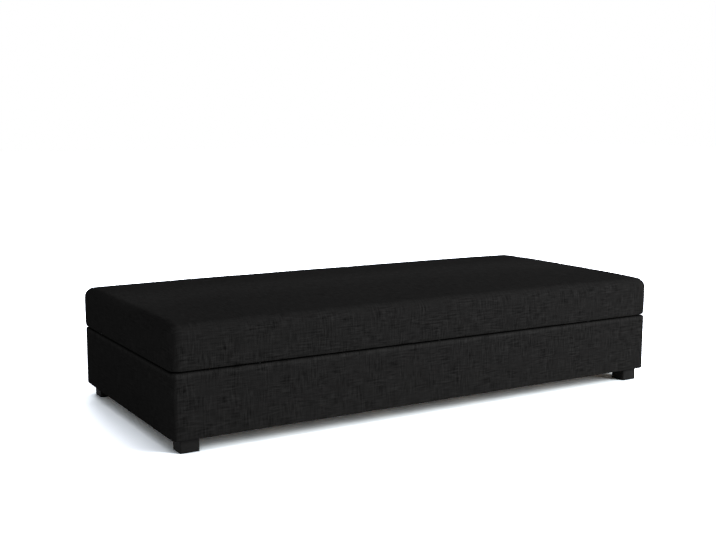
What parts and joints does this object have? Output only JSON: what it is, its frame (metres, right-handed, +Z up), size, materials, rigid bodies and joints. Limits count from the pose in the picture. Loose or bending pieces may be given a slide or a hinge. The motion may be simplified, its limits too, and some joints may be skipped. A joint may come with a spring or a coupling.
{
  "type": "box spring bed",
  "caption": "Single upholstered box spring bed: sprung top section hinged along one long side over a storage box on block feet, held up by gas struts.",
  "frame": {"origin": "on the floor under the middle of the bed", "axes": "+X along the bed's length, +Y from the front long side to the hinged long side, +Z up"},
  "size_m": [2, 0.9, 0.4138],
  "materials": {
    "black_weave": "matte",
    "pine": "matte",
    "hardboard": "matte",
    "black_moulding": "matte",
    "zinc_steel": "satin",
    "spring_steel": "satin",
    "black_enamel": "satin",
    "chromed_rod": "polished",
    "buffer_rubber": "matte",
    "grey_felt": "matte",
    "pale_foam": "matte"
  },
  "bodies": {
    "base": {"base_cover": "black_weave", "base_front_board": "pine", "base_rear_board": "pine", "base_left_board": "pine", "base_right_board": "pine", "corner_posts": "pine", "foot_blocks": "pine", "floor_ledgers": "pine", "floor_bearers": "pine", "floor_panel": "hardboard", "foot_front_left": "black_moulding", "foot_front_right": "black_moulding", "foot_rear_left": "black_moulding", "foot_rear_right": "black_moulding", "foot_studs": "zinc_steel", "foot_tee_nuts": "zinc_steel", "frame_screws": "zinc_steel", "hinge_base_screws": "zinc_steel", "hinge_pins": "zinc_steel", "strut_base_screws": "zinc_steel", "hinge_base_leaf_left": "zinc_steel", "hinge_base_leaf_centre": "zinc_steel", "hinge_base_leaf_right": "zinc_steel", "strut_base_bracket_left": "black_enamel", "strut_base_bracket_right": "black_enamel", "lid_buffers": "buffer_rubber"},
    "top_section": {"top_front_rail": "pine", "top_rear_rail": "pine", "top_left_rail": "pine", "top_right_rail": "pine", "top_frame_screws": "zinc_steel", "slats": "pine", "underside_panel": "hardboard", "coil_springs_front": "spring_steel", "coil_springs_rear": "spring_steel", "border_wire": "spring_steel", "grid_wires": "spring_steel", "spring_felt": "grey_felt", "edge_foam": "pale_foam", "top_foam": "pale_foam", "top_cover": "black_weave", "hinge_lid_leaf_left": "zinc_steel", "hinge_lid_leaf_centre": "zinc_steel", "hinge_lid_leaf_right": "zinc_steel", "hinge_lid_screws": "zinc_steel", "strut_lid_bracket_left": "black_enamel", "strut_lid_bracket_right": "black_enamel", "strut_lid_screws": "zinc_steel"},
    "left_cylinder": {"strut_lower_eye_left": "black_enamel", "strut_cylinder_left": "black_enamel", "strut_gland_left": "black_moulding"},
    "left_rod": {"strut_rod_left": "chromed_rod", "strut_piston_left": "chromed_rod", "strut_upper_eye_left": "black_enamel"},
    "right_cylinder": {"strut_lower_eye_right": "black_enamel", "strut_cylinder_right": "black_enamel", "strut_gland_right": "black_moulding"},
    "right_rod": {"strut_rod_right": "chromed_rod", "strut_piston_right": "chromed_rod", "strut_upper_eye_right": "black_enamel"}
  },
  "joints": [
    {"name": "lid_hinge", "type": "hinge", "parent": "base", "child": "top_section", "pos_m": [0, 0.447, 0.262], "axis": [-1, 0, 0], "range_deg": [0, 50]},
    {"name": "left_cylinder_pivot", "type": "hinge", "parent": "base", "child": "left_cylinder", "pos_m": [-0.957, 0.37385, 0.092], "axis": [-1, 0, 0], "range_deg": [0, 25]},
    {"name": "left_rod_pivot", "type": "hinge", "parent": "top_section", "child": "left_rod", "pos_m": [-0.957, 0.26232, 0.25], "axis": [-1, 0, 0], "range_deg": [-25, 0]},
    {"name": "right_cylinder_pivot", "type": "hinge", "parent": "base", "child": "right_cylinder", "pos_m": [0.957, 0.37385, 0.092], "axis": [-1, 0, 0], "range_deg": [0, 25]},
    {"name": "right_rod_pivot", "type": "hinge", "parent": "top_section", "child": "right_rod", "pos_m": [0.957, 0.26232, 0.25], "axis": [-1, 0, 0], "range_deg": [-25, 0]}
  ],
  "couplings": [
    {"joint": "left_cylinder_pivot", "follows": "lid_hinge", "ratio": 0.5},
    {"joint": "left_rod_pivot", "follows": "lid_hinge", "ratio": -0.5},
    {"joint": "right_cylinder_pivot", "follows": "lid_hinge", "ratio": 0.5},
    {"joint": "right_rod_pivot", "follows": "lid_hinge", "ratio": -0.5}
  ]
}
